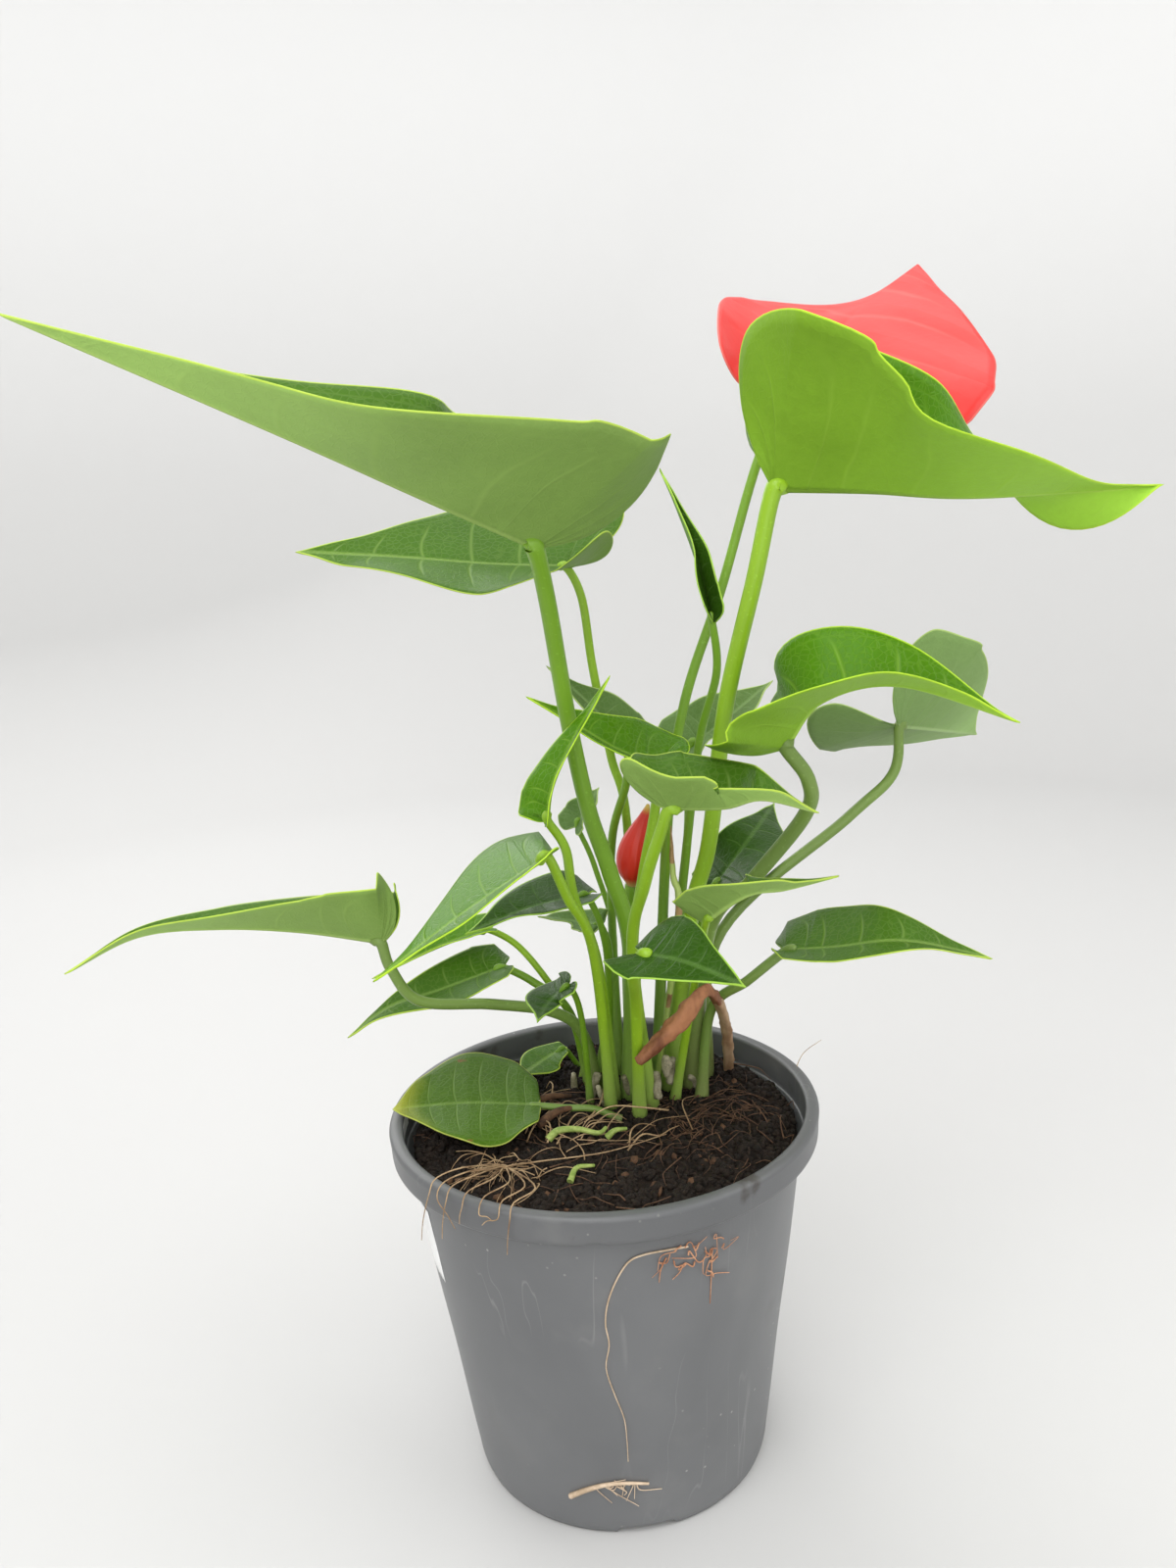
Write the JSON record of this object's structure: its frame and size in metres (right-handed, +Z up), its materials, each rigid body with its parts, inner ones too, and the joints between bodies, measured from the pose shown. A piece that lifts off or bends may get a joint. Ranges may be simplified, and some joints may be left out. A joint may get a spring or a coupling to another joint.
{
  "type": "potted anthurium",
  "caption": "Young anthurium with heart-shaped green leaves on slender stalks, an open coral flower and a furled bud, growing in soil in a round tapered nursery pot.",
  "frame": {"origin": "centre of the pot's flat underside, on the surface it stands on", "axes": "+Z up; the plant's front, as it is usually looked at, faces -Y and its right is +X"},
  "size_m": [0.3092, 0.1664, 0.3594],
  "materials": {
    "leaf_green": "glossy green leaf skin",
    "young_leaf": "soft light green leaf skin",
    "stalk_green": "smooth bright green stem",
    "spathe_coral": "waxy coral red",
    "bud_red": "waxy deep red",
    "spadix_yellow": "finely bumpy yellow",
    "sheath_pale": "papery pale green with a brown edge",
    "dead_brown": "dry, flattened brown",
    "pot_grey": "smooth moulded grey, dusty",
    "soil_dark": "damp peat and bark crumbs"
  },
  "bodies": {
    "root": {"leaf_01": "leaf_green", "stalk_01": "stalk_green", "leaf_02": "leaf_green", "stalk_02": "stalk_green", "leaf_03": "leaf_green", "stalk_03": "stalk_green", "leaf_04": "young_leaf", "stalk_04": "stalk_green", "leaf_05": "leaf_green", "stalk_05": "stalk_green", "leaf_06": "leaf_green", "stalk_06": "stalk_green", "leaf_07": "leaf_green", "stalk_07": "stalk_green", "leaf_08": "leaf_green", "stalk_08": "stalk_green", "leaf_09": "leaf_green", "stalk_09": "stalk_green", "leaf_10": "leaf_green", "stalk_10": "stalk_green", "leaf_11": "leaf_green", "stalk_11": "stalk_green", "leaf_12": "leaf_green", "stalk_12": "stalk_green", "leaf_13": "leaf_green", "stalk_13": "stalk_green", "leaf_14": "leaf_green", "stalk_14": "stalk_green", "leaf_15": "leaf_green", "stalk_15": "stalk_green", "leaf_16": "leaf_green", "stalk_16": "stalk_green", "leaf_17": "leaf_green", "stalk_17": "stalk_green", "leaf_18": "leaf_green", "stalk_18": "stalk_green", "leaf_19": "leaf_green", "stalk_19": "stalk_green", "leaf_20": "leaf_green", "stalk_20": "stalk_green", "leaf_21": "leaf_green", "stalk_21": "stalk_green", "leaf_22": "leaf_green", "stalk_22": "stalk_green", "leaf_23": "young_leaf", "stalk_23": "stalk_green", "leaf_24": "leaf_green", "stalk_24": "stalk_green", "leaf_25": "leaf_green", "stalk_25": "stalk_green", "spathe": "spathe_coral", "peduncle": "stalk_green", "spadix": "spadix_yellow", "bud_spathe": "bud_red", "bud_stalk": "stalk_green", "sheath": "sheath_pale", "dead_stalk": "dead_brown", "pot": "pot_grey", "soil": "soil_dark"}
  },
  "joints": []
}
